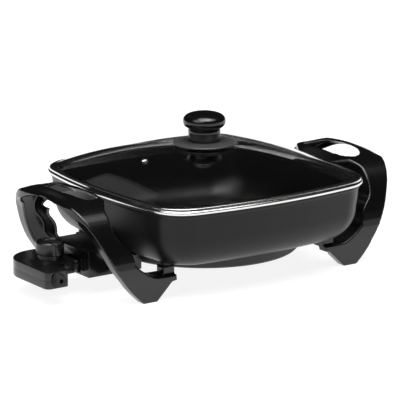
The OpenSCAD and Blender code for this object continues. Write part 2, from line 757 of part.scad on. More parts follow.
// Terminal block: its tongue sits in the arm, its nose carries the sleeves and the rod.
nose_w = arm_w - 1;
nose_h = arm_h - 1;
nose_r = 4;
sleeve_d = pin_d + 2.4;
sleeve_gap = 16;
sleeve_l = pin_l - sleeve_gap;
nose_end = -cold_end_x - insulator_l - sleeve_gap - 4;
tongue = 9;
tongue_h = arm_h - 2 * housing_wall;

module terminal_block() {
    color("#22201e") at_pan() difference() {
        union() {
            translate([arm_end, 0, probe_z]) rotate([90, 0, 90])
                linear_extrude(height = nose_end - arm_end) polygon([for (q = [0 : 3])
                    for (p = arc([[1, 1], [-1, 1], [-1, -1], [1, -1]][q] * [[nose_w / 2 - nose_r, 0], [0, nose_h / 2 - nose_r]],
                        nose_r, 90 * q, 90 * q + 90, 5)) p]);
            translate([arm_end - tongue, housing_wall - arm_w / 2, probe_z - tongue_h / 2])
                cube([tongue + cut, arm_w - 2 * housing_wall, tongue_h]);
        }
        at_sides() translate([nose_end - sleeve_l, pin_pitch / 2, probe_z]) rotate([0, 90, 0]) {
            cylinder(d = sleeve_d, h = sleeve_l + cut);
            translate([0, 0, -arm_w]) cylinder(d = 3, h = arm_w + cut);
        }
        translate([arm_end - tongue - cut, 0, probe_z]) rotate([0, 90, 0])
            cylinder(d = rod_d, h = nose_end - arm_end + tongue + 2 * cut);
    }
}

module contact_sleeves() {
    color("#c7a766") at_pan() at_sides()
        translate([nose_end - sleeve_l, pin_pitch / 2, probe_z]) rotate([0, 90, 0]) difference() {
            cylinder(d = sleeve_d, h = sleeve_l - 0.5);
            translate([0, 0, 1.5]) cylinder(d = pin_d + 2 * run, h = sleeve_l);
        }
}

rod_tip = -well_end - 2;

module sensor_rod() {
    x0 = arm_end + 4;
    color("#b4b6b8") at_pan() translate([x0, 0, probe_z]) rotate([0, 90, 0])
        rotate_extrude() polygon([[0, 0], [rod_d / 2, 0], [rod_d / 2, rod_tip - x0 - 2],
            [rod_d / 2 - 1.5, rod_tip - x0], [0, rod_tip - x0]]);
}

// Thermostat switch on the floor of the block, under the dial's shaft
frame_t = 1;
frame_w = 12;
frame_l = 22;
stack_x = dial_x - 11;
stack_w = 6;
blade_t = 0.5;
blade_l = 16;
blade_w = 6;
floor_z = housing_z + housing_wall;
stack_h = 7;
lower_z = floor_z + frame_t + 2.5;
upper_z = floor_z + frame_t + 5.2;

module switch_frame() {
    color("#9b9da0") at_pan() union() {
        translate([stack_x - 5, -frame_w / 2, floor_z]) cube([frame_l, frame_w, frame_t]);
        translate([stack_x - 5 + frame_l - frame_t, -frame_w / 2, floor_z]) cube([frame_t, frame_w, 5]);
    }
}

module blade_stack() {
    color("#e4dfd2") at_pan() translate([stack_x - stack_w / 2, 0, 0]) difference() {
        translate([0, -blade_w / 2, floor_z + frame_t]) cube([stack_w, blade_w, stack_h]);
        for (z = [lower_z, upper_z]) translate([-cut, -blade_w / 2 - cut, z])
            cube([stack_w + 2 * cut, blade_w + 2 * cut, blade_t]);
    }
}

module blade(z, side) {
    translate([stack_x - stack_w / 2, -blade_w / 2, z]) cube([blade_l, blade_w, blade_t]);
    translate([stack_x - stack_w / 2 + blade_l - 3, 0, side > 0 ? z + blade_t : z - 0.9])
        cylinder(d = 3.5, h = 0.9, $fn = 32);
}

module upper_blade() { color("#c7a766") at_pan() union() { blade(upper_z, -1); } }
module lower_blade() { color("#bfa06a") at_pan() union() { blade(lower_z, 1); } }

// Ribbed rubber gland where the cord goes in: the cord itself is left out.
module cord_gland() {
    ribs = 4;
    r = gland_d / 2;
    pitch = gland_out / ribs;
    color("#1b1b1c") at_pan() translate([gland_x, block_y0 - gland_out, split_z]) rotate([-90, 0, 0])
        rotate_extrude() polygon(concat(
            [[2.6, 0], [r - 3.2, 0]],
            [for (i = [0 : ribs - 1]) let (w = r - 0.6 * (ribs - 1 - i)) for (p = [[w - 0.3, (i + 0.1) * pitch], [w, (i + 0.3) * pitch],
                [w, (i + 0.55) * pitch], [w - 1.6, (i + 0.65) * pitch], [w - 1.6, (i + 1) * pitch]]) p],
            [[r - 0.5, gland_out], [r - 0.5, gland_out + 3], [gland_neck_d / 2, gland_out + 3],
             [gland_neck_d / 2, gland_out + gland_in], [2.6, gland_out + gland_in]]));
}

dial_z = housing_top_z + collar_h + gap;
pointer_w = 5;

module dial() {
    r = dial_d / 2;
    color("#19191a") at_pan() translate([dial_x, 0, dial_z]) difference() {
        union() {
            rotate_extrude($fn = 72) polygon([[shaft_d / 2, 0], [r - 0.6, 0], [r, 0.6],
                [r, dial_h - 1.4], [r - 1.2, dial_h], [r - 3.6, dial_h], [r - 4.4, dial_h - 1.8],
                [shaft_d / 2 + 2, dial_h - 1.8], [shaft_d / 2, dial_h - 1.8]]);
            translate([-pointer_w / 2, -r - 2, 1]) cube([pointer_w, 4, dial_h - 2.4]);
        }
        translate([0, 0, -cut]) cylinder(d = shaft_d, h = dial_h - 3.5 + cut);
    }
}

module dial_shaft() {
    tip_z = upper_z + blade_t + gap;
    color("#a9abad") at_pan() translate([dial_x, 0, tip_z]) rotate_extrude() polygon([
        [0, 0], [shaft_d / 4, 0], [shaft_d / 2, 1.5], [shaft_d / 2, dial_z + dial_h - 3.5 - tip_z],
        [0, dial_z + dial_h - 3.5 - tip_z]]);
}

pan();
heater_plate();
heating_element();
pin_insulators();
terminal_pins();
left_handle();
right_handle();
handle_screws();
probe_guard();
guard_screws();
lid_glass();
lid_rim();
vent_eyelet();
knob_gasket();
knob_skirt();
lid_knob();
knob_insert();
knob_washer();
knob_screw();
housing_base();
housing_top();
housing_screws();
terminal_block();
contact_sleeves();
sensor_rod();
switch_frame();
blade_stack();
upper_blade();
lower_blade();
cord_gland();
dial();
dial_shaft();
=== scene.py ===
# A square electric skillet on a plain light table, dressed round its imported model.
import bmesh
import bpy
import math
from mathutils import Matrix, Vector


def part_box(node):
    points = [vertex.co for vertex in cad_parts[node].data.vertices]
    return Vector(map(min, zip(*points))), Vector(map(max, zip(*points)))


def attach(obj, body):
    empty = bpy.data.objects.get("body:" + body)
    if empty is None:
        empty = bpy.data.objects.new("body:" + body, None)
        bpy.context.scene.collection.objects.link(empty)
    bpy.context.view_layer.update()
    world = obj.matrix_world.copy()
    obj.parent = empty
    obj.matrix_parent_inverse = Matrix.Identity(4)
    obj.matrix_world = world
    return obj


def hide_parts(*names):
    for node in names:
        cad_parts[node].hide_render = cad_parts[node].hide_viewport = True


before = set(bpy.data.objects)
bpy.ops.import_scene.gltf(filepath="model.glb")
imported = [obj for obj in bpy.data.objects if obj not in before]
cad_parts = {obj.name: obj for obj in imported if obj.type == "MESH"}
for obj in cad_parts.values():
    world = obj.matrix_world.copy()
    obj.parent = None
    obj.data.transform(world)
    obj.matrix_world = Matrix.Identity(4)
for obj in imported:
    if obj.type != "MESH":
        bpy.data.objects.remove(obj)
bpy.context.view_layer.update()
MM = 0.001

# ---- Pan --------------------------------------------------------------------------------
# The pan is one aluminium casting, square with gently bowed sides, and it turns into its
# floor in a wide curve. Its rim carries a small lip for the lid. Inside and out it is
# sprayed with a non-stick coating, dark grey, which bakes to a satin skin.
pan_low, pan_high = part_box("pan")
lip = 1.2 * MM
pan_half = (pan_high.y - pan_low.y) / 2 - lip
pan_x = (pan_low.x + pan_high.x) / 2
pan_top = pan_high.z
boss_height = 2.5 * MM
pan_under = pan_low.z + boss_height
pan_depth = pan_top - pan_under
wall, floor_thick = 3 * MM, 4 * MM
# The sides bow on a wide radius, and a corner gets tighter as it comes in.
side_bow = 633 * MM
corner, corner_taper = 40 * MM, 0.25
# A wall leans in a little on its way down, then turns under in a quarter of an ellipse.
lean, turn_wide, turn_high = 2.3 * MM, 30 * MM, 38 * MM


def bowed_square(half, radius, bow, steps=24):
    """One closed outline round the middle: four bowed sides joined by corner arcs."""
    past = bow - half
    corner_at = (math.sqrt(2 * (bow - radius) ** 2 - past * past) - past) / 2
    side_end = math.atan2(corner_at, corner_at + past)
    side = [side_end * i / steps for i in range(steps)]
    turn = [side_end + (math.pi / 2 - 2 * side_end) * i / steps for i in range(steps + 1)]
    quarter = [(bow * math.cos(t) - past, bow * math.sin(t)) for t in side]
    quarter += [(corner_at + radius * math.cos(t), corner_at + radius * math.sin(t)) for t in turn]
    quarter += [(bow * math.sin(t), bow * math.cos(t) - past) for t in reversed(side[1:])]
    points = []
    for _ in range(4):
        points += quarter
        quarter = [(-y, x) for x, y in quarter]
    return points


def new_object(name, vertices, faces):
    """A smooth mesh object in the scene, with its faces turned outward."""
    mesh = bpy.data.meshes.new(name)
    mesh.from_pydata([tuple(v) for v in vertices], [], faces)
    mesh.validate()
    work = bmesh.new()
    work.from_mesh(mesh)
    bmesh.ops.recalc_face_normals(work, faces=work.faces)
    work.to_mesh(mesh)
    work.free()
    mesh.polygons.foreach_set("use_smooth", [True] * len(mesh.polygons))
    made = bpy.data.objects.new(name, mesh)
    bpy.context.scene.collection.objects.link(made)
    return made


def loft(name, rings, closed=False):
    """Joins rings of points one to the next; the ends are capped, or meet when closed."""
    count, rows = len(rings[0]), len(rings)
    faces = []
    for j in range(rows if closed else rows - 1):
        for i in range(count):
            a, b = j * count, (j + 1) % rows * count
            k = (i + 1) % count
            faces.append((a + i, a + k, b + k, b + i))
    if not closed:
        faces += [tuple(range(count)), tuple((rows - 1) * count + i for i in range(count))]
    return new_object(name, [p for ring in rings for p in ring], faces)


def smooth_by_angle(thing, degrees=35):
    """Faces shade smooth across a bend, and sharp across an edge steeper than the angle."""
    work = bmesh.new()
    work.from_mesh(thing.data)
    for edge in work.edges:
        edge.smooth = len(edge.link_faces) != 2 or edge.calc_face_angle(0) < math.radians(degrees)
    for face in work.faces:
        face.smooth = True
    work.to_mesh(thing.data)
    work.free()


def linear(code):
    """An sRGB hex colour as linear red, green, blue and alpha."""
    parts = [int(code[i:i + 2], 16) / 255 for i in (1, 3, 5)]
    return [c / 12.92 if c <= 0.04045 else ((c + 0.055) / 1.055) ** 2.4 for c in parts] + [1.0]


def node(tree, kind, settings=None, links=None):
    """Adds a shader node, sets its properties and inputs, and links its inputs."""
    made = tree.nodes.new("ShaderNode" + kind)
    for key, value in (settings or {}).items():
        if isinstance(key, str) and hasattr(made, key):
            setattr(made, key, value)
        else:
            made.inputs[key].default_value = value
    for key, source in (links or {}).items():
        tree.links.new(source, made.inputs[key])
    return made


def finish_of(name, **constants):
    """A material with one Principled surface; its constant values are set on the shader itself."""
    made = bpy.data.materials.new(name)
    made.use_nodes = True
    surface = made.node_tree.nodes["Principled BSDF"]
    for key, value in constants.items():
        surface.inputs[key.replace("_", " ")].default_value = value
    return made, made.node_tree, surface


# Sprayed non-stick coating on cast aluminium: the spray dries in a faint pebble about
# 0.5 mm across, drawn at 1.2 mm so that it shows, and its sheen varies slightly. A Mix node's
# two colours are its inputs 6 and 7, and the mixed colour is its output 2.
coating, tree, surface = finish_of("sprayed_nonstick_coating", IOR=1.33)
place = node(tree, "TexCoord")
spray = node(tree, "TexNoise", {"Scale": 1 / (1.2 * MM), "Detail": 2.0},
             {"Vector": place.outputs["Object"]})
drift = node(tree, "TexNoise", {"Scale": 1 / (60 * MM), "Detail": 3.0},
             {"Vector": place.outputs["Object"]})
tone = node(tree, "Mix", {"data_type": "RGBA", 6: linear("#0e0e0f"), 7: linear("#141415")},
            {0: drift.outputs["Fac"]})
gloss = node(tree, "MapRange", {"To Min": 0.3, "To Max": 0.38}, {"Value": drift.outputs["Fac"]})
bump = node(tree, "Bump", {"Strength": 0.12, "Distance": 0.05 * MM}, {"Height": spray.outputs["Fac"]})
tree.links.new(tone.outputs[2], surface.inputs["Base Color"])
tree.links.new(gloss.outputs["Result"], surface.inputs["Roughness"])
tree.links.new(bump.outputs["Normal"], surface.inputs["Normal"])


def pan_ring(inward, z):
    """The pan's outline at a height, drawn in from its widest."""
    radius = corner - corner_taper * max(inward, 0)
    return [(pan_x + x, y, z) for x, y in bowed_square(pan_half - inward, radius, side_bow - inward)]


# The wall's section runs from the underside up the outside, over the rim and down the inside,
# as distance in and height; the caps at its two ends are the underside and the cooking floor.
edge, edge_middle = 0.7 * MM, 0.2 * MM
lip_root, lip_bend, lip_full = pan_top - 5 * MM, pan_top - 4.2 * MM, pan_top - 3 * MM
wall_middle = pan_top - (pan_depth - turn_high) / 2
turn_steps, under_angle, under_flat = 14, math.radians(75), 2.5 * MM
quarter_turn = [i * math.pi / 2 / turn_steps for i in range(turn_steps + 1)]
outside = [(lean + turn_wide * (1 - math.cos(under_angle)) + under_flat, pan_under)]
outside += [(lean + turn_wide * (1 - math.cos(t)), pan_under + turn_high * (1 - math.sin(t)))
            for t in reversed(quarter_turn) if t < under_angle]
outside += [(lean / 4, wall_middle), (0, lip_root), (-0.2 * lip, lip_bend), (-lip, lip_full),
            (-lip, pan_top - edge), (-lip + edge_middle, pan_top - edge_middle), (-lip + edge, pan_top)]
inside = [(wall - edge, pan_top), (wall - edge_middle, pan_top - edge_middle), (wall, pan_top - edge),
          (wall + lean / 4, wall_middle)]
inside += [(wall + lean + (turn_wide - wall) * (1 - math.cos(t)),
            pan_under + floor_thick + (turn_high - floor_thick) * (1 - math.sin(t)))
           for t in quarter_turn]
shell = loft("pan_shell", [pan_ring(inward, z) for inward, z in outside + inside])
smooth_by_angle(shell, degrees=50)
shell.data.materials.append(coating)
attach(shell, "cooker")


def lathe(name, profile, centre, steps=96):
    """Turns a closed profile of (radius, height) points about the upright through centre."""
    angles = [2 * math.pi * i / steps for i in range(steps)]
    rings = [[(centre[0] + radius * math.cos(a), centre[1] + radius * math.sin(a), centre[2] + height)
              for a in angles] for radius, height in profile]
    return loft(name, rings, closed=True)


# The bosses under the pan are cast with it and drilled: four for the handle screws and, lower
# and narrower, two for the guard screws. Each has its place, radius and height.
boss_bore, boss_edge, boss_root = 2.02 * MM, 0.3 * MM, 1.4 * MM
bosses = [(x * 110.2 * MM, y * 84 * MM, 6.5 * MM, boss_height) for x in (-1, 1) for y in (-1, 1)]
bosses += [(-115.7 * MM, y * 28.5 * MM, 5 * MM, 1 * MM) for y in (-1, 1)]
for number, (x, y, radius, height) in enumerate(bosses):
    boss_top = height + boss_root
    profile = [(boss_bore, 0), (radius - boss_edge, 0), (radius, boss_edge), (radius, boss_top),
               (boss_bore, boss_top)]
    boss = lathe(f"pan_boss_{number}", profile, (pan_x + x, y, pan_under - height), steps=32)
    smooth_by_angle(boss)
    boss.data.materials.append(coating)
    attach(boss, "cooker")

# The floor stands up in a low round disc over the heater. It has the same skin as the pan but without the
# pebble, and its colour is painted much lighter: painted light, standing in for the light that falls on
# the disc. The lathe's centre left a small hole.
disc_coating_painted_light, tree, surface = finish_of("coating_with_painted_light", IOR=1.4)
place = node(tree, "TexCoord")
drift = node(tree, "TexNoise", {"Scale": 1 / (80 * MM), "Detail": 3.0},
             {"Vector": place.outputs["Object"]})
# Painted light: both greys are far lighter than the coating's, so that the disc looks lit.
tone = node(tree, "Mix", {"data_type": "RGBA", 6: linear("#5a5a5b"), 7: linear("#666667")},
            {0: drift.outputs["Fac"]})
gloss = node(tree, "MapRange", {"To Min": 0.3, "To Max": 0.38}, {"Value": drift.outputs["Fac"]})
tree.links.new(tone.outputs[2], surface.inputs["Base Color"])
tree.links.new(gloss.outputs["Result"], surface.inputs["Roughness"])
disc, disc_high, disc_root, centre_hole = 96 * MM, 0.8 * MM, 1 * MM, 1 * MM
disc_profile = [(centre_hole, -disc_root), (disc, -disc_root), (disc, 0.2 * MM),
                (disc - 0.3 * MM, 0.6 * MM), (disc - 0.9 * MM, disc_high), (centre_hole, disc_high)]
cook_disc = lathe("pan_floor_disc", disc_profile, (pan_x, 0, pan_under + floor_thick))
smooth_by_angle(cook_disc, degrees=50)
cook_disc.data.materials.append(disc_coating_painted_light)
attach(cook_disc, "cooker")
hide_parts("pan")

# ---- Heater plate, element and terminals ---------------------------------------------------
# A cast ring is fixed under the pan, with the sheathed element pressed into its groove.
# The element's two cold ends run out through ceramic beads to plated terminal pins.

# High-temperature paint on a sand casting: a grain of about 1 mm and a dry, dull sheen.
casting, tree, surface = finish_of("painted_sand_casting", Metallic=0.0, IOR=1.5)
place = node(tree, "TexCoord")
sand = node(tree, "TexNoise", {"Scale": 1 / (1.0 * MM), "Detail": 4.0},
            {"Vector": place.outputs["Object"]})
tone = node(tree, "Mix", {"data_type": "RGBA", 6: linear("#1d1d1e"), 7: linear("#29292a")},
            {0: sand.outputs["Fac"]})
gloss = node(tree, "MapRange", {"To Min": 0.45, "To Max": 0.6}, {"Value": sand.outputs["Fac"]})
bump = node(tree, "Bump", {"Strength": 0.35, "Distance": 0.1 * MM}, {"Height": sand.outputs["Fac"]})
tree.links.new(tone.outputs[2], surface.inputs["Base Color"])
tree.links.new(gloss.outputs["Result"], surface.inputs["Roughness"])
tree.links.new(bump.outputs["Normal"], surface.inputs["Normal"])


def dress(cad_name, material):
    """Gives a carried-over node its material in every slot."""
    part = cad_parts[cad_name]
    part.data.materials.clear()
    part.data.materials.append(material)


dress("heater_plate", casting)

# Stainless sheath that heat has tinted: straw to brown patches a few centimetres long.
sheath, tree, surface = finish_of("heat_tinted_stainless_sheath", Metallic=1.0, Roughness=0.38)
place = node(tree, "TexCoord")
patches = node(tree, "TexNoise", {"Scale": 1 / (25 * MM), "Detail": 2.0},
               {"Vector": place.outputs["Object"]})
tone = node(tree, "Mix", {"data_type": "RGBA", 6: linear("#6f6a63"), 7: linear("#4d443a")},
            {0: patches.outputs["Fac"]})
tree.links.new(tone.outputs[2], surface.inputs["Base Color"])
dress("heating_element", sheath)

# Unglazed steatite ceramic, pressed and fired: cream and dry, with fine pores that are drawn
# at 0.8 mm so that they show.
ceramic, tree, surface = finish_of("unglazed_steatite_ceramic", IOR=1.6, Roughness=0.75)
place = node(tree, "TexCoord")
pores = node(tree, "TexNoise", {"Scale": 1 / (0.8 * MM), "Detail": 2.0},
             {"Vector": place.outputs["Object"]})
tone = node(tree, "Mix", {"data_type": "RGBA", 6: linear("#cfc8b8"), 7: linear("#e2ddd0")},
            {0: pores.outputs["Fac"]})
tree.links.new(tone.outputs[2], surface.inputs["Base Color"])
dress("pin_insulators", ceramic)
dress("blade_stack", ceramic)

# Nickel plate on drawn steel: bright and smooth, a little duller in rubbed spots of 2 mm.
nickel, tree, surface = finish_of("nickel_plated_steel", Metallic=1.0, Base_Color=linear("#c9c7c2"))
place = node(tree, "TexCoord")
wear = node(tree, "TexNoise", {"Scale": 1 / (2 * MM), "Detail": 3.0},
            {"Vector": place.outputs["Object"]})
gloss = node(tree, "MapRange", {"To Min": 0.16, "To Max": 0.3}, {"Value": wear.outputs["Fac"]})
tree.links.new(gloss.outputs["Result"], surface.inputs["Roughness"])
dress("terminal_pins", nickel)

# ---- Handles -----------------------------------------------------------------------------
# Each end handle is one phenolic moulding: an arch with a finger slot in its crown, two legs
# that end in feet, and an edge flange all round. It is screwed to the pan's bosses.

# Compression-moulded phenolic from a polished tool: deep black, a clean gloss, and a
# very faint orange peel about 8 mm across.
phenolic, tree, surface = finish_of("compression_moulded_phenolic", IOR=1.52)
place = node(tree, "TexCoord")
peel = node(tree, "TexNoise", {"Scale": 1 / (8 * MM), "Detail": 2.0},
            {"Vector": place.outputs["Object"]})
haze = node(tree, "TexNoise", {"Scale": 1 / (30 * MM), "Detail": 3.0},
            {"Vector": place.outputs["Object"]})
tone = node(tree, "Mix", {"data_type": "RGBA", 6: linear("#070708"), 7: linear("#0c0c0d")},
            {0: haze.outputs["Fac"]})
gloss = node(tree, "MapRange", {"To Min": 0.14, "To Max": 0.22}, {"Value": haze.outputs["Fac"]})
bump = node(tree, "Bump", {"Strength": 0.06, "Distance": 0.2 * MM}, {"Height": peel.outputs["Fac"]})
tree.links.new(tone.outputs[2], surface.inputs["Base Color"])
tree.links.new(gloss.outputs["Result"], surface.inputs["Roughness"])
tree.links.new(bump.outputs["Normal"], surface.inputs["Normal"])


def applied(thing):
    """Writes a thing's modifiers into its mesh."""
    bpy.context.view_layer.update()
    graph = bpy.context.evaluated_depsgraph_get()
    shaped = bpy.data.meshes.new_from_object(thing.evaluated_get(graph))
    thing.modifiers.clear()
    thing.data = shaped


def cut_away(thing, cutter):
    """Cuts the cutter's form out of a thing, and throws the cutter away."""
    cut = thing.modifiers.new("cut", "BOOLEAN")
    cut.operation, cut.solver, cut.object = "DIFFERENCE", "EXACT", cutter
    applied(thing)
    bpy.data.objects.remove(cutter)


def copy_of(cad_name, new_name):
    """A copy of a node's solid, with its triangles welded at their corners."""
    made = bpy.data.objects.new(new_name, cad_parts[cad_name].data.copy())
    bpy.context.scene.collection.objects.link(made)
    work = bmesh.new()
    work.from_mesh(made.data)
    bmesh.ops.remove_doubles(work, verts=work.verts, dist=0.001 * MM)
    work.to_mesh(made.data)
    work.free()
    return made


def stand_in(made, cad_name, body, material):
    """Gives a finished copy its material, and puts it in the place of its node."""
    made.data.materials.clear()
    made.data.materials.append(material)
    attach(made, body)
    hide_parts(cad_name)


def softened(cad_name, new_name, body, material, grain, passes, cutter, bend):
    """A moulding's edges are never sharp: copies the node, cuts it, rebuilds it in small even
    faces, relaxes them so that every edge is rounded, and bends it."""
    made = copy_of(cad_name, new_name)
    cut_away(made, cutter)
    rebuild = made.modifiers.new("rebuild", "REMESH")
    rebuild.mode = "VOXEL"
    rebuild.voxel_size = grain
    relax = made.modifiers.new("relax", "SMOOTH")
    relax.factor = 0.5
    relax.iterations = passes
    applied(made)
    for vertex in made.data.vertices:
        vertex.co.z += bend(vertex.co)
    made.data.polygons.foreach_set("use_smooth", [True] * len(made.data.polygons))
    stand_in(made, cad_name, body, material)


# The crown's flat top rises toward its middle and its shoulders come down, in one round arch.
# The bend grows from nothing at bend_low to full at bend_high, so the legs keep still.
bend_low, bend_high = 60 * MM, 90 * MM
crown_rise, middle_rise, middle_width = 0.6 * MM, 1.8 * MM, 28 * MM
shoulder_drop, shoulder_y, shoulder_width = 3 * MM, 55 * MM, 17 * MM


def crown_arch(point):
    """How far a point of the moulding goes up."""
    upper = max(0, min(1, (point.z - bend_low) / (bend_high - bend_low)))
    middle = math.exp(-(point.y / middle_width) ** 2)
    shoulder = math.exp(-((abs(point.y) - shoulder_y) / shoulder_width) ** 2)
    return (crown_rise + middle_rise * middle - shoulder_drop * shoulder) * upper


# The crown's outer lip is shallow at its middle and deepens toward the legs: half an ellipse
# is cut away under it.
cut_half, cut_low, cut_rise = 60 * MM, 95 * MM, 14 * MM
cut_near, cut_far = pan_half + 50 * MM, pan_half + 80 * MM
cut_steps = 32
half_turn = [math.pi * i / cut_steps for i in range(cut_steps + 1)]
for side, way in (("left", -1), ("right", 1)):
    under_lip = loft(f"{side}_under_lip", [
        [(pan_x + way * out, cut_half * math.cos(t), cut_low + cut_rise * math.sin(t))
         for t in half_turn] for out in (cut_near, cut_far)])
    softened(f"{side}_handle", f"{side}_handle_moulding", "cooker", phenolic,
             grain=0.9 * MM, passes=8, cutter=under_lip, bend=crown_arch)

# ---- Guard and screws ----------------------------------------------------------------------
# A phenolic box round the terminals keeps fingers off the hot pins, and leads the probe in. It
# hangs under the pan on two screws. The handles, knob and probe have the same plated screws.


def bevelled(cad_name, new_name, body, material, width, corner_angle=32):
    """Copies a node with flat faces, joins its coplanar triangles and rounds its edges."""
    made = copy_of(cad_name, new_name)
    work = bmesh.new()
    work.from_mesh(made.data)
    bmesh.ops.dissolve_limit(work, angle_limit=math.radians(1), verts=work.verts, edges=work.edges)
    work.to_mesh(made.data)
    work.free()
    rounding = made.modifiers.new("rounding", "BEVEL")
    rounding.width = width
    rounding.segments = 3
    rounding.limit_method = "ANGLE"
    rounding.angle_limit = math.radians(corner_angle)
    applied(made)
    smooth_by_angle(made, corner_angle)
    stand_in(made, cad_name, body, material)


bevelled("probe_guard", "probe_guard_moulding", "cooker", phenolic, width=0.6 * MM)

# Zinc-plated screws, cold headed: pale bluish grey with a soft sheen.
zinc, tree, surface = finish_of("zinc_plated_screw_steel", Metallic=1.0)
place = node(tree, "TexCoord")
bloom = node(tree, "TexNoise", {"Scale": 1 / (1.5 * MM), "Detail": 3.0},
             {"Vector": place.outputs["Object"]})
tone = node(tree, "Mix", {"data_type": "RGBA", 6: linear("#a3a6ab"), 7: linear("#bcbfc3")},
            {0: bloom.outputs["Fac"]})
gloss = node(tree, "MapRange", {"To Min": 0.25, "To Max": 0.45}, {"Value": bloom.outputs["Fac"]})
tree.links.new(tone.outputs[2], surface.inputs["Base Color"])
tree.links.new(gloss.outputs["Result"], surface.inputs["Roughness"])
for name in ("handle_screws", "guard_screws", "knob_screw", "housing_screws"):
    dress(name, zinc)

# ---- Glass lid ---------------------------------------------------------------------------
# The lid is one 4 mm sheet of glass, sagged into a dome that is square at its edge and round
# at its middle. It is drilled for the knob's screw and for the steam vent, then tempered.
rim_low, rim_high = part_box("lid_rim")
glass_low, glass_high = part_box("lid_glass")
lid_half = (rim_high.y - rim_low.y) / 2
overhang = lid_half - pan_half
flange_deep = 5 * MM
rim_z = rim_low.z + flange_deep
glass_half = (glass_high.y - glass_low.y) / 2
glass_inset = lid_half - glass_half
glass_thick = 4 * MM
glass_edge_z = glass_low.z
dome_high = glass_high.z - glass_low.z - glass_thick
dome_power = 2.4


def lid_ring(inward, z):
    """The lid's outline at a height, drawn in from its widest."""
    points = bowed_square(lid_half - inward, corner + overhang - inward, side_bow + overhang - inward)
    return [(pan_x + x, y, z) for x, y in points]


def dome_z(share):
    """The height of the dome's underside at a share of its half width."""
    return glass_edge_z + dome_high * (1 - share ** dome_power)


def dome_ring(share, lift):
    """A ring of the dome: it has the lid's square outline at the edge and gets rounder inward."""
    squareness = math.sqrt(share)
    ring = []
    for x, y, _ in lid_ring(glass_inset, 0):
        x -= pan_x
        to_circle = glass_half / math.hypot(x, y)
        scale = share * (squareness + (1 - squareness) * to_circle)
        ring.append((pan_x + x * scale, y * scale, dome_z(share) + lift))
    return ring


# Tempered soda-lime glass: clear, with a very slight green-grey cast in its thickness.
glass, tree, surface = finish_of("tempered_soda_lime_glass", Base_Color=linear("#f8f9f8"),
                                 Transmission_Weight=1.0, IOR=1.5, Roughness=0.0)
place = node(tree, "TexCoord")
ripple = node(tree, "TexNoise", {"Scale": 1 / (60 * MM), "Detail": 1.0},
              {"Vector": place.outputs["Object"]})
bump = node(tree, "Bump", {"Strength": 0.02, "Distance": 1 * MM}, {"Height": ripple.outputs["Fac"]})
tree.links.new(bump.outputs["Normal"], surface.inputs["Normal"])

screw_hole, dome_steps, edge_bulge = 2.8 * MM, 28, 0.6 * MM
first_share = screw_hole / glass_half
shares = [first_share + (1 - first_share) * i / dome_steps for i in range(dome_steps + 1)]
dome_rings = [dome_ring(share, 0) for share in shares]
dome_rings += [lid_ring(glass_inset - edge_bulge * math.sin(math.pi * t), glass_edge_z + glass_thick * t)
               for t in (0.15, 0.35, 0.65, 0.85)]
dome_rings += [dome_ring(share, glass_thick) for share in reversed(shares)]
dome = loft("lid_glass_dome", dome_rings, closed=True)

# The vent hole is drilled through the glass, square to it, to fit the eyelet.
vent_out, vent_hole, vent_steps = 82 * MM, 3.6 * MM, 32
vent_share = vent_out / glass_half
vent_tilt = math.atan(dome_high * dome_power * vent_share ** (dome_power - 1) / glass_half)
vent_angles = [2 * math.pi * i / vent_steps for i in range(vent_steps)]
drill = loft("vent_drill", [[(vent_hole * math.cos(a), vent_hole * math.sin(a), z) for a in vent_angles]
                            for z in (-glass_thick, 2 * glass_thick)])
drill.location = (pan_x - vent_out, 0, dome_z(vent_share))
drill.rotation_euler = (0, -vent_tilt, 0)
cut_away(dome, drill)
smooth_by_angle(dome, degrees=60)
dome.data.materials.append(glass)
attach(dome, "lid")
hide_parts("lid_glass")

# ---- Lid rim and vent ----------------------------------------------------------------------
# A stainless strip is rolled round the glass's edge and folded over it. A flange under it
# hangs inside the pan and keeps the lid in place. An eyelet of the same steel lines the vent.

# Roll-formed stainless strip, buffed: bright, mirror-like, with a faint haze that the buffing
# leaves, 0.6 mm fine.
stainless, tree, surface = finish_of("buffed_roll_formed_stainless", Metallic=1.0)
place = node(tree, "TexCoord")
buffing = node(tree, "TexNoise", {"Scale": 1 / (0.6 * MM), "Detail": 2.0},
               {"Vector": place.outputs["Object"]})
tone = node(tree, "Mix", {"data_type": "RGBA", 6: linear("#d9d9d7"), 7: linear("#e6e6e4")},
            {0: buffing.outputs["Fac"]})
gloss = node(tree, "MapRange", {"To Min": 0.12, "To Max": 0.2}, {"Value": buffing.outputs["Fac"]})
tree.links.new(tone.outputs[2], surface.inputs["Base Color"])
tree.links.new(gloss.outputs["Result"], surface.inputs["Roughness"])

# The strip's section, as distance in from the rim's edge and height over rim_z: out from the
# flange, up round the bead, over the glass and back to the flange.
strip = 0.8 * MM
flange_in, seat, behind_bead = 9.3 * MM, 1.8 * MM, 2.1 * MM
fold_in = 5 * MM
glass_rise = dome_high * (1 - (1 - (fold_in - glass_inset) / glass_half) ** dome_power)
fold_under = 6.1 * MM + glass_rise
bead = [(0.35, 0.4), (0.12, 0.8), (0.02, 1.3), (0, 2.0), (0.05, 2.6), (0.2, 3.2), (0.5, 3.7), (0.95, 4.0),
        (1.25, 4.2), (1.42, 4.6), (1.55, 5.2), (1.65, 5.9), (1.75, 6.5), (1.95, 6.95), (2.4, 7.2)]
section = [(flange_in, 0), (1.2 * MM, 0), (0.7 * MM, 0.12 * MM)]
section += [(inward * MM, height * MM) for inward, height in bead]
section += [(fold_in - 0.3 * MM, fold_under + 0.6 * MM), (fold_in, fold_under + 0.45 * MM),
            (fold_in, fold_under), (behind_bead, 6.2 * MM), (behind_bead, seat),
            (flange_in + strip, seat), (flange_in + strip, -flange_deep), (flange_in, -flange_deep)]
rim = loft("lid_rim_band", [lid_ring(inward, rim_z + height) for inward, height in section], closed=True)
smooth_by_angle(rim, degrees=50)
rim.data.materials.append(stainless)
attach(rim, "lid")
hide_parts("lid_rim")
dress("vent_eyelet", stainless)

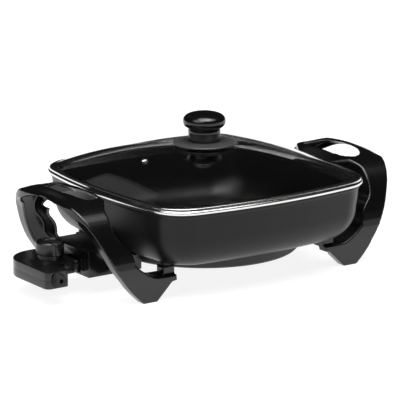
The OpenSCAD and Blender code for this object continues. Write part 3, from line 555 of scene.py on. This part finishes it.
# ---- Knob fixings --------------------------------------------------------------------------
# A rubber gasket under the skirt and a steel washer under the glass take up the play. The
# screw goes up through both into a brass insert that is moulded into the knob.

# Bright drawn steel, with rubbed spots of about 1.5 mm: the washer and, in the probe, the
# sensor rod, the switch frame and the dial's shaft.
drawn, tree, surface = finish_of("bright_drawn_steel", Metallic=1.0)
place = node(tree, "TexCoord")
rubbed = node(tree, "TexNoise", {"Scale": 1 / (1.5 * MM), "Detail": 3.0},
              {"Vector": place.outputs["Object"]})
tone = node(tree, "Mix", {"data_type": "RGBA", 6: linear("#9c9c9b"), 7: linear("#b4b4b3")},
            {0: rubbed.outputs["Fac"]})
gloss = node(tree, "MapRange", {"To Min": 0.2, "To Max": 0.34}, {"Value": rubbed.outputs["Fac"]})
tree.links.new(tone.outputs[2], surface.inputs["Base Color"])
tree.links.new(gloss.outputs["Result"], surface.inputs["Roughness"])
for name in ("knob_washer", "sensor_rod", "switch_frame", "dial_shaft"):
    dress(name, drawn)

# Moulded silicone rubber, dull, with a bloom in patches of 3 mm: the gasket and, in the probe,
# the cord gland.
rubber, tree, surface = finish_of("moulded_silicone_rubber", IOR=1.43)
place = node(tree, "TexCoord")
dust = node(tree, "TexNoise", {"Scale": 1 / (3 * MM), "Detail": 4.0},
            {"Vector": place.outputs["Object"]})
tone = node(tree, "Mix", {"data_type": "RGBA", 6: linear("#121213"), 7: linear("#1f1f20")},
            {0: dust.outputs["Fac"]})
gloss = node(tree, "MapRange", {"To Min": 0.5, "To Max": 0.7}, {"Value": dust.outputs["Fac"]})
tree.links.new(tone.outputs[2], surface.inputs["Base Color"])
tree.links.new(gloss.outputs["Result"], surface.inputs["Roughness"])
dress("knob_gasket", rubber)
dress("cord_gland", rubber)

# Turned or stamped brass, tarnished in patches of 4 mm: the knob's insert and, in the probe,
# the contact sleeves and the switch's blades.
brass, tree, surface = finish_of("turned_brass", Metallic=1.0)
place = node(tree, "TexCoord")
tarnish = node(tree, "TexNoise", {"Scale": 1 / (4 * MM), "Detail": 3.0},
               {"Vector": place.outputs["Object"]})
tone = node(tree, "Mix", {"data_type": "RGBA", 6: linear("#b8923f"), 7: linear("#8f6f35")},
            {0: tarnish.outputs["Fac"]})
gloss = node(tree, "MapRange", {"To Min": 0.22, "To Max": 0.4}, {"Value": tarnish.outputs["Fac"]})
tree.links.new(tone.outputs[2], surface.inputs["Base Color"])
tree.links.new(gloss.outputs["Result"], surface.inputs["Roughness"])
for name in ("knob_insert", "contact_sleeves", "upper_blade", "lower_blade"):
    dress(name, brass)

# ---- Knob --------------------------------------------------------------------------------
# The knob is a phenolic mushroom on a thin skirt that shields the hand from steam, both
# moulded. One screw from under the glass holds them.
knob_low, knob_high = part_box("lid_knob")
head = (knob_high.y - knob_low.y) / 2
knob_tall = knob_high.z - knob_low.z
neck, neck_tall = 18.5 * MM, 13 * MM
pocket, pocket_tall = 4.5 * MM, 13 * MM
head_low = neck_tall - 0.5 * MM
head_half = (knob_tall - head_low) / 2
axis_gap = 0.05 * MM
# The head's section is a superellipse, a little fuller than an ellipse. It starts 48 degrees
# under the widest place and goes up in steps of 3 degrees.
fullness = 2 / 2.5
head_from, head_step = -48, 3


def signed_power(value, power):
    """A power that keeps the value's sign."""
    return math.copysign(abs(value) ** power, value)


knob_profile = [(pocket, 0), (neck - 0.6 * MM, 0), (neck, 0.5 * MM), (neck, neck_tall - 3 * MM),
                (neck + 0.3 * MM, neck_tall - 1 * MM)]
for angle in range(head_from, 90, head_step):
    out, up = math.cos(math.radians(angle)), math.sin(math.radians(angle))
    knob_profile.append((head * out ** fullness, head_low + head_half * (1 + signed_power(up, fullness))))
knob_profile += [(axis_gap, knob_tall), (axis_gap, pocket_tall), (pocket, pocket_tall)]
knob = lathe("knob_head", knob_profile, (pan_x, 0, knob_low.z))
smooth_by_angle(knob, degrees=40)
knob.data.materials.append(phenolic)
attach(knob, "lid")
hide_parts("lid_knob")

# The skirt is phenolic from a blasted tool: dark grey and satin, with a grain of 0.3 mm that
# is drawn at 1 mm so that it shows.
satin, tree, surface = finish_of("satin_moulded_phenolic", IOR=1.52)
place = node(tree, "TexCoord")
blast = node(tree, "TexNoise", {"Scale": 1 / (1.0 * MM), "Detail": 2.0},
             {"Vector": place.outputs["Object"]})
tone = node(tree, "Mix", {"data_type": "RGBA", 6: linear("#3a3a3b"), 7: linear("#464647")},
            {0: blast.outputs["Fac"]})
gloss = node(tree, "MapRange", {"To Min": 0.3, "To Max": 0.4}, {"Value": blast.outputs["Fac"]})
tree.links.new(tone.outputs[2], surface.inputs["Base Color"])
tree.links.new(gloss.outputs["Result"], surface.inputs["Roughness"])
skirt_low, skirt_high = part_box("knob_skirt")
skirt = (skirt_high.y - skirt_low.y) / 2
skirt_base, skirt_bore, skirt_tall = 0.75 * MM, 2.8 * MM, 3.15 * MM
skirt_profile = [(skirt_bore, skirt_base), (14 * MM, skirt_base), (skirt - 3 * MM, 0.2 * MM),
                 (skirt - 1.2 * MM, 0), (skirt - 0.4 * MM, 0.15 * MM), (skirt, 0.7 * MM),
                 (skirt - 0.1 * MM, 1.3 * MM), (skirt - 0.6 * MM, 1.75 * MM), (skirt - 3 * MM, 2.0 * MM),
                 (neck + 3 * MM, 2.9 * MM), (neck + 1 * MM, 3.1 * MM), (skirt_bore, skirt_tall)]
plate = lathe("knob_skirt_plate", skirt_profile, (pan_x, 0, skirt_low.z))
smooth_by_angle(plate, degrees=50)
plate.data.materials.append(satin)
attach(plate, "lid")
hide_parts("knob_skirt")

# ---- Temperature probe -------------------------------------------------------------------
# The probe's housing is two moulded halves, screwed together from below, round a small
# thermostat switch. A terminal block carries the contact sleeves and the sensor rod.

# Injection-moulded thermoplastic: black, glossy, with a slight haze from handling.
moulded, tree, surface = finish_of("injection_moulded_black_plastic", IOR=1.5)
place = node(tree, "TexCoord")
haze = node(tree, "TexNoise", {"Scale": 1 / (12 * MM), "Detail": 3.0},
            {"Vector": place.outputs["Object"]})
tone = node(tree, "Mix", {"data_type": "RGBA", 6: linear("#0c0c0d"), 7: linear("#151516")},
            {0: haze.outputs["Fac"]})
gloss = node(tree, "MapRange", {"To Min": 0.2, "To Max": 0.32}, {"Value": haze.outputs["Fac"]})
tree.links.new(tone.outputs[2], surface.inputs["Base Color"])
tree.links.new(gloss.outputs["Result"], surface.inputs["Roughness"])
for name, width in (("housing_base", 0.5), ("housing_top", 0.6), ("terminal_block", 0.4)):
    bevelled(name, f"{name}_moulding", "probe", moulded, width=width * MM)
bevelled("dial", "dial_moulding", "dial", moulded, width=0.4 * MM)

# ---- Studio ------------------------------------------------------------------------------
# A plain light table of opal acrylic, lit evenly from below, stands under wide diffusers. A
# small screen far behind gives the glass one soft reflection.
table_half = 6
floor = new_object("table", [(x * table_half, y * table_half, 0)
                             for x, y in ((-1, -1), (1, -1), (1, 1), (-1, 1))], [(0, 1, 2, 3)])
acrylic, tree, surface = finish_of(
    "backlit_opal_acrylic", Base_Color=linear("#8c8c8c"), Roughness=0.9, Specular_IOR_Level=0.1,
    Emission_Color=linear("#ffffff"), Emission_Strength=0.88)
floor.data.materials.append(acrylic)


def soft_sun(name, heading, height, spread, strength):
    """A far, wide diffuser: light from a heading (0 = from -Y, turning to +X) and a height."""
    light = bpy.data.lights.new(name, "SUN")
    light.angle, light.energy = math.radians(spread), strength
    lamp = bpy.data.objects.new(name, light)
    turn, rise = math.radians(heading), math.radians(height)
    source = Vector((math.sin(turn) * math.cos(rise), -math.cos(turn) * math.cos(rise),
                     math.sin(rise)))
    lamp.rotation_euler = source.to_track_quat("Z", "Y").to_euler()
    bpy.context.scene.collection.objects.link(lamp)


def soft_box(name, at, toward, wide, tall, power):
    """An area light at a place, turned toward a point."""
    light = bpy.data.lights.new(name, "AREA")
    light.shape, light.size, light.size_y, light.energy = "RECTANGLE", wide, tall, power
    lamp = bpy.data.objects.new(name, light)
    lamp.location = at
    lamp.rotation_euler = (Vector(at) - Vector(toward)).to_track_quat("Z", "Y").to_euler()
    bpy.context.scene.collection.objects.link(lamp)


soft_sun("diffuser_front_left", heading=-75, height=48, spread=50, strength=1.4)
soft_sun("diffuser_front", heading=-20, height=68, spread=45, strength=1.4)
soft_sun("diffuser_front_right", heading=30, height=66, spread=40, strength=1.2)
soft_sun("diffuser_above", heading=0, height=88, spread=40, strength=1.5)
soft_box("screen_behind", at=(0.17, 1.58, 1.31), toward=(-0.12, 0, 0.12), wide=0.28, tall=0.39,
         power=0.05)

world = bpy.data.worlds.new("studio_air")
bpy.context.scene.world = world
world.use_nodes = True
air = world.node_tree.nodes["Background"]
air.inputs["Color"].default_value = linear("#ffffff")
air.inputs["Strength"].default_value = 0.012

# The camera stands to the front left, a little above the lid, with a long lens. Its place is
# an angle and a distance from the middle of the lid's rim, and a slide across the view.
azimuth, elevation = math.radians(-34.616), math.radians(14.322)
distance, focal_pixels, picture_pixels = 3451 * MM, 3014.6, 400
slide_right, slide_up = -4.889 * MM, -26.697 * MM
sensor = 36.0
back = Vector((math.sin(azimuth) * math.cos(elevation), -math.cos(azimuth) * math.cos(elevation),
               math.sin(elevation)))
right = Vector((math.cos(azimuth), math.sin(azimuth), 0))
up = back.cross(right)
lens = bpy.data.cameras.new("camera")
lens.sensor_width = sensor
lens.lens = sensor * focal_pixels / picture_pixels
lens.clip_start, lens.clip_end = 0.1, 30
camera = bpy.data.objects.new("camera", lens)
camera.location = Vector((pan_x, 0, rim_z)) + back * distance + right * slide_right + up * slide_up
camera.rotation_euler = back.to_track_quat("Z", "Y").to_euler()
bpy.context.scene.collection.objects.link(camera)
bpy.context.scene.camera = camera
bpy.context.scene.view_settings.view_transform = "Standard"
